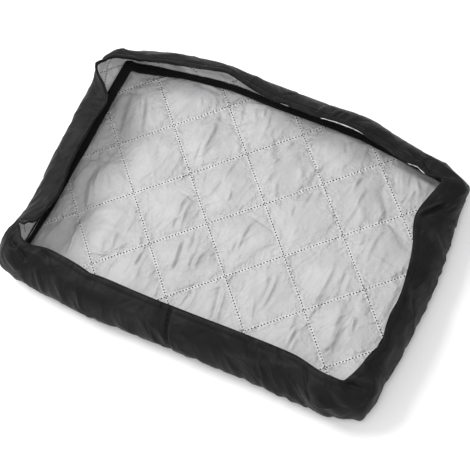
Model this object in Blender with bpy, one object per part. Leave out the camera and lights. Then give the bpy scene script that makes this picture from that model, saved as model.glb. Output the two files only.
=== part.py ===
"""Quilted air conditioner cover, lying on its front with the open side up.

The front is a padded rectangle, stitched in diamonds. A band of the same cloth stands
round it, bulges, and curls in at its elastic hem. Z is up, X runs along the long side,
and the origin is under the middle of the whole cover.
"""
from collections import namedtuple

import bmesh
import bpy
import numpy as np
from mathutils import Matrix

MM = 0.001

# Thicknesses and gaps, in millimetres
CLOTH = 1.2
WALL_PADDING = 3.0
STITCHED_PADDING = 1.5
LAYER_GAP = 0.3
BAND_LAYER_GAP = 0.5

# Quilting: square diamonds with their seams at 45 degrees to the long side
DIAMOND_DIAGONAL = 118.5
SEAM_CROSSING = (-217.5, 163.3)
PUFF_RISE = 5.0
PUFF_ROUNDNESS = 0.6
PUFF_STEPS = 6
FLAT_MARGIN = 12.0
FADE_MARGIN = 30.0
LINING_INSET = 5.6
CUT_LINE_DEPTH = 20.0

# Binding over the inside seam
TAPE_WIDTH = 14.0
TAPE_THICK = 2.4
TAPE_INSET = 6.0
TAPE_ROOT_HEIGHT = 4.8
TAPE_TILT = {"near": 25.0, "right": 25.0, "far": 35.0, "left": 20.0}

# The band's section runs through four rings: base, crest of the bulge, shoulder, hem
RINGS = ("base", "crest", "shoulder", "hem")
CREST_HEIGHT = 26.0
SHOULDER_SHARE = 0.8
BAND_ROWS = 8
STATION_SPACING = 23.0

# Corners of the front, and how far short of each corner the four rings turn
Corner = namedtuple("Corner", "x y base crest shoulder hem")
CORNERS = {
    "near_left": Corner(-266.5, -180.7, 2, -8, 4, 26),
    "near_right": Corner(254.5, -172.7, 2, -12, 2, 15),
    "far_right": Corner(256.5, 168.3, 2, -10, 3, 23),
    "far_left": Corner(-273.5, 175.3, 2, -3, 9, 30),
}

# Sections of the band. share is the place along the side, the four rings are given by
# how far they stand out from the straight line between the corners, height is the hem's
Section = namedtuple("Section", "share base crest shoulder hem height")
SIDES = {
    ("near", "near_left", "near_right"): (
        Section(0.015, 0, 13, 5, -20, 85),
        Section(0.12, 3, 23, 13, -20, 80),
        Section(0.25, 5, 28, 17, -16, 77),
        Section(0.40, 4, 27, 14, -15, 75),
        Section(0.55, 2, 24, 12, -17, 75),
        Section(0.70, 2, 22, 10, -20, 74),
        Section(0.85, 2, 23, 8, -21, 74),
        Section(0.985, 0, 14, 9, -16, 78),
    ),
    ("right", "near_right", "far_right"): (
        Section(0.02, 0, 18, 12, -13, 78),
        Section(0.15, 3, 23, 18, 1, 78),
        Section(0.30, 6, 29, 22, 4, 78),
        Section(0.45, 6, 29, 20, 1, 76),
        Section(0.60, 5, 26, 16, -10, 74),
        Section(0.78, 2, 19, 8, -29, 74),
        Section(0.98, 0, 12, 6, -23, 75),
    ),
    ("far", "far_right", "far_left"): (
        Section(0.015, 0, 4, -3, -31, 75),
        Section(0.14, 14, 17, 8, -23, 75),
        Section(0.28, 30, 34, 21, -6, 75),
        Section(0.42, 31, 35, 20, -8, 75),
        Section(0.56, 29, 33, 20, -8, 75),
        Section(0.70, 29, 33, 23, 2, 73),
        Section(0.84, 18, 24, 12, -10, 73),
        Section(0.985, -1, 1, -13, -29, 74),
    ),
    ("left", "far_left", "near_left"): (
        Section(0.02, 0, 2, -10, -22, 78),
        Section(0.10, 0, 10, 6, 0, 85),
        Section(0.22, 0, 13, 5, -26, 72),
        Section(0.40, 0, 12, 2, -33, 68),
        Section(0.58, 0, 10, 0, -35, 66),
        Section(0.76, 0, 6, -10, -43, 66),
        Section(0.88, 0, 9, -4, -36, 68),
        Section(0.98, 0, 6, -8, -19, 85),
    ),
}


def ring_height(ring, section):
    """Height of one ring at one section, in millimetres."""
    heights = {
        "base": CLOTH + LAYER_GAP,
        "crest": CREST_HEIGHT,
        "shoulder": section.height * SHOULDER_SHARE,
        "hem": section.height,
    }
    return heights[ring]


def ring_sections(ring, inset=0.0):
    """Points of a ring at every section, moved inwards by inset on all four sides."""
    points = []
    for (_, first, last), sections in SIDES.items():
        start = np.array(CORNERS[first][:2])
        end = np.array(CORNERS[last][:2])
        length = np.linalg.norm(end - start)
        along = (end - start) / length
        outwards = np.array([along[1], -along[0]])
        short_start = getattr(CORNERS[first], ring) + inset
        short_end = getattr(CORNERS[last], ring) + inset
        for section in sections:
            reach = short_start + section.share * (length - short_start - short_end)
            out = getattr(section, ring) - inset
            place = start + along * reach + outwards * out
            points.append((place[0], place[1], ring_height(ring, section)))
    return np.array(points)


def cubic(start, end, start_slope, end_slope, step):
    """Cubic curve between two points; the slopes are already scaled to the span."""
    square = step * step
    cube = square * step
    return (
        start * (2 * cube - 3 * square + 1)
        + start_slope * (cube - 2 * square + step)
        + end * (3 * square - 2 * cube)
        + end_slope * (cube - square)
    )


def middle_slope(before, here, after, span_before, span_after):
    """Slope at a point that lies between two unequal spans."""
    slope_before = (here - before) / span_before
    slope_after = (after - here) / span_after
    total = span_before + span_after
    return (slope_before * span_after + slope_after * span_before) / total


def round_curve(points, spans, counts):
    """Smooth closed curve through the points, with counts[i] steps in span i."""
    spans = spans[:, None]
    slopes = middle_slope(
        np.roll(points, 1, 0), points, np.roll(points, -1, 0), np.roll(spans, 1, 0), spans
    )
    pieces = []
    for i, count in enumerate(counts):
        following = (i + 1) % len(points)
        step = (np.arange(count) / count)[:, None]
        pieces.append(cubic(
            points[i], points[following], slopes[i] * spans[i], slopes[following] * spans[i], step
        ))
    return np.concatenate(pieces)


BASE = ring_sections("base")
BASE_SPANS = np.linalg.norm((np.roll(BASE, -1, 0) - BASE)[:, :2], axis=1)
STATION_COUNTS = np.maximum(2, np.ceil(BASE_SPANS / STATION_SPACING)).astype(int)


def ring_curve(ring, inset=0.0):
    """A ring as a smooth closed curve of stations."""
    return round_curve(ring_sections(ring, inset), BASE_SPANS, STATION_COUNTS)


def profile_curve(knots, rows):
    """Smooth curve up the band's section, through its four knots, in equal steps."""
    spans = np.linalg.norm(np.diff(knots, axis=0), axis=1)
    slopes = [None] * len(knots)
    for i in range(1, len(knots) - 1):
        slopes[i] = middle_slope(knots[i - 1], knots[i], knots[i + 1], spans[i - 1], spans[i])
    slopes[0] = 1.5 * (knots[1] - knots[0]) / spans[0] - 0.5 * slopes[1]
    slopes[-1] = 1.5 * (knots[-1] - knots[-2]) / spans[-1] - 0.5 * slopes[-2]
    reach = np.concatenate([[0.0], np.cumsum(spans)])
    points = []
    for way in np.linspace(0.0, reach[-1], rows):
        i = min(np.searchsorted(reach, way, side="right") - 1, len(spans) - 1)
        step = (way - reach[i]) / spans[i]
        points.append(cubic(
            knots[i], knots[i + 1], slopes[i] * spans[i], slopes[i + 1] * spans[i], step
        ))
    return np.array(points)


def band_surface(rows):
    """Outer face of the band as an array of rows by stations by x, y, z."""
    rings = np.array([ring_curve(ring) for ring in RINGS])
    profiles = [profile_curve(rings[:, i], rows) for i in range(rings.shape[1])]
    return np.stack(profiles, axis=1)


def outward_normals(surface):
    """Unit normals of a surface that is closed along its stations."""
    around = np.roll(surface, -1, 1) - np.roll(surface, 1, 1)
    upwards = np.gradient(surface, axis=0)
    normals = np.cross(around, upwards)
    return normals / np.linalg.norm(normals, axis=2, keepdims=True)


def finish_object(name, bm, color, roughness):
    """Turn a bmesh in millimetres into a named object in metres with its own material."""
    bmesh.ops.recalc_face_normals(bm, faces=bm.faces)
    bmesh.ops.scale(bm, vec=(MM, MM, MM), verts=bm.verts)
    mesh = bpy.data.meshes.new(name)
    bm.to_mesh(mesh)
    bm.free()
    obj = bpy.data.objects.new(name, mesh)
    bpy.context.scene.collection.objects.link(obj)
    material = bpy.data.materials.new(name)
    material.use_nodes = True
    shader = material.node_tree.nodes["Principled BSDF"]
    shader.inputs["Base Color"].default_value = (*color, 1.0)
    shader.inputs["Roughness"].default_value = roughness
    mesh.materials.append(material)
    mesh.shade_smooth()
    mesh.set_sharp_from_angle(angle=np.radians(40.0))
    return obj


def closed_loft(loops):
    """Ring-shaped solid whose section runs through the loops and closes on itself.

    Its two halves are split along opposite diagonals, so the inner face of one layer and
    the outer face of the next have the same facets.
    """
    corners, stations = loops.shape[:2]
    bm = bmesh.new()
    bmesh.ops.create_grid(bm, x_segments=stations, y_segments=corners, size=0.5)
    first_half = [face for face in bm.faces if face.calc_center_median().y < 0.0]
    second_half = [face for face in bm.faces if face.calc_center_median().y >= 0.0]
    bmesh.ops.triangulate(bm, faces=first_half, quad_method="FIXED")
    bmesh.ops.triangulate(bm, faces=second_half, quad_method="ALTERNATE")
    for vertex in bm.verts:
        station = round((vertex.co.x + 0.5) * stations) % stations
        corner = round((vertex.co.y + 0.5) * corners) % corners
        vertex.co = loops[corner, station]
    bmesh.ops.remove_doubles(bm, verts=bm.verts, dist=0.001)
    return bm


def band_layer(surface, normals, outer_depth, thickness):
    """One layer of the band, from outer_depth to outer_depth + thickness inside it."""
    outer = surface - normals * outer_depth
    inner = surface - normals * (outer_depth + thickness)
    return closed_loft(np.concatenate([outer, inner[::-1]]))


def flat_slab(outline, bottom, top):
    """Flat solid with the given outline."""
    bm = bmesh.new()
    rim = [bm.verts.new((x, y, bottom)) for x, y, _ in outline]
    face = bm.faces.new(rim)
    walls = bmesh.ops.extrude_face_region(bm, geom=[face])
    raised = [item for item in walls["geom"] if isinstance(item, bmesh.types.BMVert)]
    bmesh.ops.translate(bm, vec=(0.0, 0.0, top - bottom), verts=raised)
    return bm


def depth_inside(x, y, outline):
    """Distance from a point to the nearest edge of the outline."""
    start = outline[:, :2]
    edge = np.roll(start, -1, 0) - start
    offset = np.array([x, y]) - start
    share = np.clip((offset * edge).sum(1) / (edge * edge).sum(1), 0.0, 1.0)
    return np.linalg.norm(offset - edge * share[:, None], axis=1).min()


def puff_height(x, y, outline):
    """Rise of the quilted lining over its seams at one point."""
    along = (x - SEAM_CROSSING[0] + y - SEAM_CROSSING[1]) / DIAMOND_DIAGONAL
    across = (x - SEAM_CROSSING[0] - y + SEAM_CROSSING[1]) / DIAMOND_DIAGONAL
    pillow = abs(np.sin(np.pi * along) * np.sin(np.pi * across)) ** PUFF_ROUNDNESS
    fade = np.clip((depth_inside(x, y, outline) - FLAT_MARGIN) / FADE_MARGIN, 0.0, 1.0)
    return PUFF_RISE * pillow * fade * fade * (3.0 - 2.0 * fade)


def quilted_slab(outline, bottom):
    """Padded sheet, flat below and puffed above, wider than the outline on all sides."""
    diamond_side = DIAMOND_DIAGONAL / np.sqrt(2.0)
    crossing = np.array(SEAM_CROSSING)
    centre = crossing - np.round(crossing / DIAMOND_DIAGONAL) * DIAMOND_DIAGONAL
    reach = np.abs(outline[:, :2] - centre).sum(1).max() / np.sqrt(2.0)
    half_cells = int(np.ceil(reach / diamond_side))
    steps = 2 * half_cells * PUFF_STEPS
    place = Matrix.Translation((*centre, bottom + STITCHED_PADDING))
    bm = bmesh.new()
    bmesh.ops.create_grid(
        bm,
        x_segments=steps,
        y_segments=steps,
        size=half_cells * diamond_side,
        matrix=place @ Matrix.Rotation(np.radians(45.0), 4, "Z"),
    )
    for vertex in bm.verts:
        vertex.co.z += puff_height(vertex.co.x, vertex.co.y, outline)
    rim = [edge for edge in bm.edges if edge.is_boundary]
    skirt = bmesh.ops.extrude_edge_only(bm, edges=rim)["geom"]
    for item in skirt:
        if isinstance(item, bmesh.types.BMVert):
            item.co.z = bottom
    lower_rim = [item for item in skirt if isinstance(item, bmesh.types.BMEdge)]
    bmesh.ops.contextual_create(bm, geom=lower_rim)
    return bm


def build_face_cloth():
    """Black front panel, flat on the ground."""
    bm = flat_slab(ring_curve("base"), 0.0, CLOTH)
    finish_object("face_cloth", bm, (0.022, 0.022, 0.024), 0.6)


def build_face_lining():
    """Silver quilted front lining, cut to the outline inside the band."""
    bottom = CLOTH + LAYER_GAP
    lining = finish_object(
        "face_lining", quilted_slab(ring_curve("base"), bottom), (0.62, 0.62, 0.63), 0.35
    )
    cut_line = flat_slab(
        ring_curve("base", LINING_INSET), bottom - CUT_LINE_DEPTH, bottom + CUT_LINE_DEPTH
    )
    cutter = finish_object("front_cut_line", cut_line, (0.5, 0.5, 0.5), 0.5)
    cutter.hide_render = True
    cutter.display_type = "WIRE"
    trim = lining.modifiers.new("trim", "BOOLEAN")
    trim.operation = "INTERSECT"
    trim.solver = "EXACT"
    trim.object = cutter


def build_band():
    """Black band and its padded silver lining, one inside the other."""
    surface = band_surface(BAND_ROWS)
    normals = outward_normals(surface)
    cloth = band_layer(surface, normals, 0.0, CLOTH)
    finish_object("wall_cloth", cloth, (0.022, 0.022, 0.024), 0.6)
    lining = band_layer(surface, normals, CLOTH + BAND_LAYER_GAP, WALL_PADDING)
    finish_object("wall_lining", lining, (0.62, 0.62, 0.63), 0.35)


def tape_edge(share, lift):
    """Curve along the tape: share 0 is its sewn edge, 1 its free one; lift is upwards."""
    tilts = []
    for (side, _, _), sections in SIDES.items():
        tilts.extend([np.radians(TAPE_TILT[side])] * len(sections))
    tilts = np.array(tilts)
    insets = TAPE_INSET + share * TAPE_WIDTH * np.cos(tilts) - lift * np.sin(tilts)
    heights = TAPE_ROOT_HEIGHT + share * TAPE_WIDTH * np.sin(tilts) + lift * np.cos(tilts)
    points = np.array([ring_sections("base", inset)[i] for i, inset in enumerate(insets)])
    points[:, 2] = heights
    return round_curve(points, BASE_SPANS, STATION_COUNTS)


def build_seam_tape():
    """Dark binding that stands in from the seam, all the way round."""
    half = 0.5 * TAPE_THICK
    corners = ((0.0, -half), (0.0, half), (1.0, half), (1.0, -half))
    bm = closed_loft(np.array([tape_edge(share, lift) for share, lift in corners]))
    finish_object("seam_tape", bm, (0.012, 0.012, 0.014), 0.75)


for old in list(bpy.data.objects):
    bpy.data.objects.remove(old, do_unlink=True)

build_face_cloth()
build_face_lining()
build_band()
build_seam_tape()
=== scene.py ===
import itertools
import math

import bmesh
import bpy
import numpy as np
from mathutils import Matrix, Vector


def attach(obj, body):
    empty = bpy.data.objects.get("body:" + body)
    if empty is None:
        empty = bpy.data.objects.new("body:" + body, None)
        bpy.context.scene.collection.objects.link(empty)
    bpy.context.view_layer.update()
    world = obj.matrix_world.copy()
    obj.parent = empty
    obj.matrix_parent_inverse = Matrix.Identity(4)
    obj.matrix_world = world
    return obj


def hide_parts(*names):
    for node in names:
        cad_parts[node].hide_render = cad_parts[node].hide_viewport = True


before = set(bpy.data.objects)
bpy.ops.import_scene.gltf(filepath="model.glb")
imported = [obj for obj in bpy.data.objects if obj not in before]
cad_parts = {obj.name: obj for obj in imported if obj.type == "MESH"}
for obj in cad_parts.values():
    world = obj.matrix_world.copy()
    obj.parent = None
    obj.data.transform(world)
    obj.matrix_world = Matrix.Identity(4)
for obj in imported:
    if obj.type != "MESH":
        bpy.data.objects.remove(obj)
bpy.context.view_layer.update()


# ---- Front cloth -------------------------------
# The front of the cover is a rectangle of black proofed cloth that lies face down. The
# quilting crosses it at 45 degrees and pulls shallow channels into it. Its outline is the
# lowest of the four rings that also shape the band sewn round it, all in millimetres.

MM = 0.001
CLOTH = 1.2
LAYER_GAP = 0.3
CLOTH_STEPS = 30
CHANNEL_RISE = 0.55
CHANNEL_WIDTH = 2.2

# Noise mostly stays in this range, so colours and roughness are spread over it.
NOISE_RANGE = (0.3, 0.7)
BLACKS = ((0.006, 0.006, 0.0066), (0.0105, 0.0105, 0.0113))
# Paler tint for the band's fold ridges and hem roll: dust, and a painted highlight.
DUST_AND_SHEEN_BLACK = (0.035, 0.035, 0.037)

DIAMOND_DIAGONAL = 118.5
DIAMOND_SIDE = DIAMOND_DIAGONAL / math.sqrt(2.0)
SEAM_CROSSING = np.array((-217.5, 163.3))

# Spacing of the outline's points where a grid is drawn on to it, and where only nearness
# to it counts; how near to it a grid's points may be, in cells; and the shortest edge.
FINE_PITCH = 0.7
ROUGH_PITCH = 7.0
TRIM_CELLS = 0.35
SHORTEST_EDGE = 0.02

RINGS = ("base", "crest", "shoulder", "hem")
CREST_HEIGHT = 26.0
SHOULDER_SHARE = 0.8

# Place of the near left, near right, far right and far left corners, and how far short of
# each corner the sections of every ring stop.
CORNERS = (
    (-266.5, -180.7, 2, -8, 4, 26),
    (254.5, -172.7, 2, -12, 2, 15),
    (256.5, 168.3, 2, -10, 3, 23),
    (-273.5, 175.3, 2, -3, 9, 30),
)

# Sections of the near, right, far and left sides: share of the side's length, how far out
# each ring is, and the height of the hem.
SIDES = (
    (
        (0.015, 0, 13, 5, -20, 85), (0.12, 3, 23, 13, -20, 80), (0.25, 5, 28, 17, -16, 77),
        (0.40, 4, 27, 14, -15, 75), (0.55, 2, 24, 12, -17, 75), (0.70, 2, 22, 10, -20, 74),
        (0.85, 2, 23, 8, -21, 74), (0.985, 0, 14, 9, -16, 78),
    ),
    (
        (0.02, 0, 18, 12, -13, 78), (0.15, 3, 23, 18, 1, 78), (0.30, 6, 29, 22, 4, 78),
        (0.45, 6, 29, 20, 1, 76), (0.60, 5, 26, 16, -10, 74), (0.78, 2, 19, 8, -29, 74),
        (0.98, 0, 12, 6, -23, 75),
    ),
    (
        (0.015, 0, 4, -3, -31, 75), (0.14, 14, 17, 8, -23, 75), (0.28, 30, 34, 21, -6, 75),
        (0.42, 31, 35, 20, -8, 75), (0.56, 29, 33, 20, -8, 75), (0.70, 29, 33, 23, 2, 73),
        (0.84, 18, 24, 12, -10, 73), (0.985, -1, 1, -13, -29, 74),
    ),
    (
        (0.02, 0, 2, -10, -22, 78), (0.10, 0, 10, 6, 0, 85), (0.22, 0, 13, 5, -26, 72),
        (0.40, 0, 12, 2, -33, 68), (0.58, 0, 10, 0, -35, 66), (0.76, 0, 6, -10, -43, 66),
        (0.88, 0, 9, -4, -36, 68), (0.98, 0, 6, -8, -19, 85),
    ),
)


def sides_round():
    """Every side's first and last corner, direction, outward direction and sections."""
    for first, last, rows in zip(CORNERS, CORNERS[1:] + CORNERS[:1], SIDES):
        way = np.subtract(last[:2], first[:2])
        way = way / np.linalg.norm(way)
        yield first, last, way, np.array([way[1], -way[0]]), rows


def ring_sections(ring, inset=0.0):
    """Points of a ring at every section, moved inwards by inset on all four sides."""
    which = RINGS.index(ring)
    points = []
    for first, last, way, outwards, rows in sides_round():
        length = math.dist(first[:2], last[:2])
        short_start, short_end = first[2 + which] + inset, last[2 + which] + inset
        for share, *outs, height in rows:
            reach = short_start + share * (length - short_start - short_end)
            x, y = first[:2] + way * reach + outwards * (outs[which] - inset)
            levels = (CLOTH + LAYER_GAP, CREST_HEIGHT, height * SHOULDER_SHARE, height)
            points.append((x, y, levels[which]))
    return np.array(points)


def cubic(start, end, start_slope, end_slope, step):
    """Cubic curve between two points; the slopes are already scaled to the span."""
    square = step * step
    cube = square * step
    return (
        start * (2 * cube - 3 * square + 1)
        + start_slope * (cube - 2 * square + step)
        + end * (3 * square - 2 * cube)
        + end_slope * (cube - square)
    )


def middle_slope(before, here, after, span_before, span_after):
    """Slope at a point that lies between two unequal spans."""
    slope_before = (here - before) / span_before
    slope_after = (after - here) / span_after
    total = span_before + span_after
    return (slope_before * span_after + slope_after * span_before) / total


BASE = ring_sections("base")
BASE_SPANS = np.linalg.norm((np.roll(BASE, -1, 0) - BASE)[:, :2], axis=1)
BASE_REACH = np.concatenate([[0.0], np.cumsum(BASE_SPANS)])
BAND_LENGTH = BASE_REACH[-1]


def round_at(points, along):
    """Smooth closed curve through one point per section, read at distances round the base."""
    spans = BASE_SPANS[:, None]
    slopes = middle_slope(
        np.roll(points, 1, 0), points, np.roll(points, -1, 0), np.roll(spans, 1, 0), spans
    )
    way = np.mod(along, BAND_LENGTH)
    first = np.clip(np.searchsorted(BASE_REACH, way, side="right") - 1, 0, len(points) - 1)
    last = (first + 1) % len(points)
    span = spans[first]
    step = (way - BASE_REACH[first])[:, None] / span
    return cubic(points[first], points[last], slopes[first] * span, slopes[last] * span, step)


def front_outline(inset, pitch):
    """The front's outline, moved in by inset, as points about pitch apart."""
    count = round(BAND_LENGTH / pitch)
    along = np.arange(count) * BAND_LENGTH / count
    return round_at(ring_sections("base", inset), along)[:, :2]


def bell(gap, width):
    """Soft hump: 1 where the gap is nothing, and near 0 two widths away."""
    return np.exp(-((gap / width) ** 2))


def depth_inside(x, y, outline):
    """Distance from points to the outline, negative outside it."""
    nearest = np.full(len(x), np.inf)
    inside = np.zeros(len(x), bool)
    for (x0, y0), (x1, y1) in zip(outline, np.roll(outline, -1, 0)):
        dx, dy = x1 - x0, y1 - y0
        share = np.clip(((x - x0) * dx + (y - y0) * dy) / (dx * dx + dy * dy), 0.0, 1.0)
        nearest = np.minimum(nearest, np.hypot(x - x0 - dx * share, y - y0 - dy * share))
        if dy:
            inside ^= ((y0 > y) != (y1 > y)) & (x < x0 + dx * (y - y0) / dy)
    return np.where(inside, nearest, -nearest)


def quilted_grid(steps, inset):
    """Flat grid in line with the quilting, steps cells to a diamond's side, trimmed to
    the front's outline, moved in by inset, and drawn on to it."""
    outline = front_outline(inset, FINE_PITCH)
    centre = SEAM_CROSSING - np.round(SEAM_CROSSING / DIAMOND_DIAGONAL) * DIAMOND_DIAGONAL
    reach = np.abs(outline - centre).sum(1).max() / math.sqrt(2.0)
    half_cells = math.ceil(reach / DIAMOND_SIDE)
    bm = bmesh.new()
    bmesh.ops.create_grid(
        bm,
        x_segments=2 * half_cells * steps,
        y_segments=2 * half_cells * steps,
        size=half_cells * DIAMOND_SIDE,
        matrix=Matrix.Translation((*centre, 0.0)) @ Matrix.Rotation(math.radians(45.0), 4, "Z"),
    )
    flat = np.array([vertex.co[:2] for vertex in bm.verts])
    cell = DIAMOND_SIDE / steps
    kept = depth_inside(*flat.T, front_outline(inset, ROUGH_PITCH)) > TRIM_CELLS * cell
    lost = [vertex for vertex, keep in zip(bm.verts, kept) if not keep]
    bmesh.ops.delete(bm, geom=lost, context="VERTS")
    corners = [vertex for vertex in bm.verts if len(vertex.link_faces) == 1]
    bmesh.ops.delete(bm, geom=[v for v in corners if len(v.link_edges) == 2], context="VERTS")
    for vertex in bm.verts:
        if vertex.is_boundary:
            gaps = np.linalg.norm(outline - vertex.co[:2], axis=1)
            vertex.co.xy = outline[gaps.argmin()]
    bmesh.ops.dissolve_degenerate(bm, dist=SHORTEST_EDGE, edges=bm.edges)
    return bm


def close_slab(bm, level):
    """Turn an open sheet into a closed slab whose other face is flat at level."""
    rim = [edge for edge in bm.edges if edge.is_boundary]
    skirt = bmesh.ops.extrude_edge_only(bm, edges=rim)["geom"]
    for item in skirt:
        if isinstance(item, bmesh.types.BMVert):
            item.co.z = level
    other_rim = [item for item in skirt if isinstance(item, bmesh.types.BMEdge)]
    bmesh.ops.contextual_create(bm, geom=other_rim)


def diamond_place(x, y, crossing, diagonal):
    """Place in the quilting, in diamonds, along its two directions."""
    along = (x - crossing[0] + y - crossing[1]) / diagonal
    across = (x - crossing[0] - y + crossing[1]) / diagonal
    return along, across


def seam_gap(share, side):
    """Distance to the nearest seam of one direction."""
    return np.abs(share - np.round(share)) * side


def new_object(name, data):
    """A new object in the scene."""
    made = bpy.data.objects.new(name, data)
    bpy.context.scene.collection.objects.link(made)
    return made


def as_mesh(name, bm):
    """A mesh made from a bmesh, which is then freed."""
    mesh = bpy.data.meshes.new(name)
    bm.to_mesh(mesh)
    bm.free()
    return mesh


def add_piece(name, bm, material):
    """Turn a bmesh in millimetres into a smooth piece in metres that rides on the body."""
    bmesh.ops.recalc_face_normals(bm, faces=bm.faces)
    bmesh.ops.scale(bm, vec=(MM, MM, MM), verts=bm.verts)
    piece = new_object(name, as_mesh(name, bm))
    piece.data.shade_smooth()
    piece.data.materials.append(material)
    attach(piece, "root")
    return piece


def bare_material(name, **inputs):
    """A new material, with the plain values of its main shader."""
    material = bpy.data.materials.new(name)
    material.use_nodes = True
    for key, value in inputs.items():
        key = key.replace("_", " ")
        material.node_tree.nodes["Principled BSDF"].inputs[key].default_value = value
    return material


def add_node(material, kind, inputs=(), **settings):
    """A shader node; each input takes a plain value or another node's output."""
    node = material.node_tree.nodes.new(kind)
    for key, value in settings.items():
        setattr(node, key, value)
    for key, value in dict(inputs).items():
        if isinstance(value, bpy.types.NodeSocket):
            material.node_tree.links.new(value, node.inputs[key])
        else:
            node.inputs[key].default_value = value
    return node


def add_noise(material, place, scale, detail=3.0):
    """Noise of the given scale, as a factor."""
    inputs = {"Vector": place, "Scale": scale, "Detail": detail}
    return add_node(material, "ShaderNodeTexNoise", inputs).outputs["Fac"]


def mapped(material, place, key, value):
    """The place, turned or stretched."""
    inputs = {"Vector": place, key: value}
    return add_node(material, "ShaderNodeMapping", inputs).outputs["Vector"]


def add_crumple(material, place, scale, turn, stretch):
    """Sharp creases that run one way, with smooth cloth between them, as a factor."""
    place = mapped(material, place, "Rotation", (0.0, 0.0, turn))
    place = mapped(material, place, "Scale", (1.0, stretch, 1.0))
    inputs = {"Vector": place, "Scale": scale, "Distortion": 0.35}
    inputs.update({"Detail": 2.5, "Offset": 1.0, "Gain": 1.6})
    noise = add_node(material, "ShaderNodeTexNoise", inputs, noise_type="RIDGED_MULTIFRACTAL")
    return noise.outputs["Fac"]


def ramp_color(material, factor, low, high):
    """Colour that runs from low to high as the factor crosses its usual range."""
    ramp = add_node(material, "ShaderNodeValToRGB", {"Fac": factor})
    for stop, place, color in zip(ramp.color_ramp.elements, NOISE_RANGE, (low, high)):
        stop.position = place
        stop.color = (*color, 1.0)
    return ramp.outputs["Color"]


def ranged(material, factor, low, high):
    """The factor, moved to run from low to high as it crosses its usual range."""
    names = ("Value", "From Min", "From Max", "To Min", "To Max")
    inputs = dict(zip(names, (factor, *NOISE_RANGE, low, high)))
    return add_node(material, "ShaderNodeMapRange", inputs).outputs[0]


def stored(material, name):
    """A value kept on the mesh's vertices, as a factor; 0 where the mesh has none."""
    return add_node(material, "ShaderNodeAttribute", attribute_name=name).outputs["Fac"]


def dust_and_sheen_color(material, color, tint):
    """The colour, turned to a tint by a value kept on the mesh: dust, and painted highlights on
    folds and seams.
    """
    inputs = {0: stored(material, "dust_and_sheen"), 6: color, 7: (*tint, 1.0)}
    return add_node(material, "ShaderNodeMix", inputs, data_type="RGBA").outputs[2]


def add_ribs(material, place, scale, way="X"):
    """Fine ribs that follow one another along one way, as a factor."""
    inputs = {"Vector": place, "Scale": scale}
    return add_node(material, "ShaderNodeTexWave", inputs, bands_direction=way).outputs["Fac"]


def product(material, *factors):
    """Two factors, multiplied."""
    inputs = dict(enumerate(factors))
    return add_node(material, "ShaderNodeMath", inputs, operation="MULTIPLY").outputs[0]


def plain_weave(material, place, pitch):
    """Height of a plain weave with threads pitch metres apart."""
    scale = math.tau / (20.0 * pitch)
    return product(material, *(add_ribs(material, place, scale, way) for way in "XY"))


def cloth_material(name, has_map, patches, colors, grain, roughness, bumps, tint=None, **shine):
    """Cloth whose colour varies in patches and whose roughness varies with its grain, both
    of a noise's scale and detail. Its place in metres is its own map, or the object's. The
    bumps lie on one another: what makes each, of which sizes, its strength and distance."""
    material = bare_material(name, **shine)
    place = add_node(material, "ShaderNodeTexCoord").outputs["UV" if has_map else "Object"]
    color = ramp_color(material, add_noise(material, place, *patches), *colors)
    # The tint is mixed in by a value kept on the mesh: dust, and painted highlights.
    if tint is not None:
        color = dust_and_sheen_color(material, color, tint)
    outputs = {
        "Base Color": color,
        "Roughness": ranged(material, add_noise(material, place, *grain), *roughness),
    }
    for make, sizes, strength, distance in bumps:
        inputs = {"Height": make(material, place, *sizes)}
        inputs.update({"Strength": strength, "Distance": distance})
        if "Normal" in outputs:
            inputs["Normal"] = outputs["Normal"]
        outputs["Normal"] = add_node(material, "ShaderNodeBump", inputs).outputs["Normal"]
    shader = material.node_tree.nodes["Principled BSDF"]
    for key, output in outputs.items():
        material.node_tree.links.new(output, shader.inputs[key])
    return material


def black_cloth(name, has_map):
    """Black proofed plain weave with a soft sheen; painted paler on its folds, for dust and a
    painted highlight.
    """
    bumps = (
        (add_crumple, (17.0, -0.6, 0.5), 1.0, 0.0042),
        (add_noise, (150.0,), 0.35, 0.0008),
        (plain_weave, (0.0005,), 0.3, 0.00012),
    )
    return cloth_material(
        name, has_map, patches=(30.0, 4.0), colors=BLACKS, grain=(240.0, 5.0),
        roughness=(0.48, 0.62), bumps=bumps, tint=DUST_AND_SHEEN_BLACK,
        Sheen_Weight=0.006, Sheen_Roughness=0.4, Specular_IOR_Level=0.11,
    )


bm = quilted_grid(CLOTH_STEPS, 0.0)
for vertex in bm.verts:
    place = diamond_place(vertex.co.x, vertex.co.y, SEAM_CROSSING, DIAMOND_DIAGONAL)
    rise = sum(bell(seam_gap(share, DIAMOND_SIDE), CHANNEL_WIDTH) for share in place)
    vertex.co.z = CHANNEL_RISE * min(rise, 1.0)
close_slab(bm, CLOTH)
front_cloth = add_piece("front_cloth", bm, black_cloth("black_cloth_front", False))
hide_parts("face_cloth")


# ---- Front lining ------------------------------
# Silver coated lining over thin wadding, machine quilted in 84 mm diamonds so that every
# diamond puffs up. The thread gathers the lining at each stitch, and packing has left
# soft creases in it, most of them across the short side.

LINING_INSET = 5.6
LINING_STEPS = 57
STITCHED_PADDING = 1.5
THINNEST_PADDING = 0.7
STITCHES_PER_DIAMOND = 19
PUFF_RISE = 7.0
PUFF_FULLNESS = (0.78, 1.18)
PUFF_ROUNDNESS = 0.62
SEAM_VALLEY = 0.05
FLAT_MARGIN = 7.0
FADE_MARGIN = 16.0
HELD_WIDTH = 5.0
COARSE_PITCH = 9.0
RIDGE_MEAN = 0.3

# How deep and wide the dip at a stitch is. Then the puckers beside a seam: their rise,
# width and length, how far they run out, and how far off the seam they begin.
STITCH_DIP = 0.45
STITCH_DIP_WIDTH = 3.6
FINE_PUCKERS = (2.6, 2.9, 11.0, 6.0, 1.4)
LONG_PUCKERS = (1.6, 9.0, 26.0, 15.0, 3.0)

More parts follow.
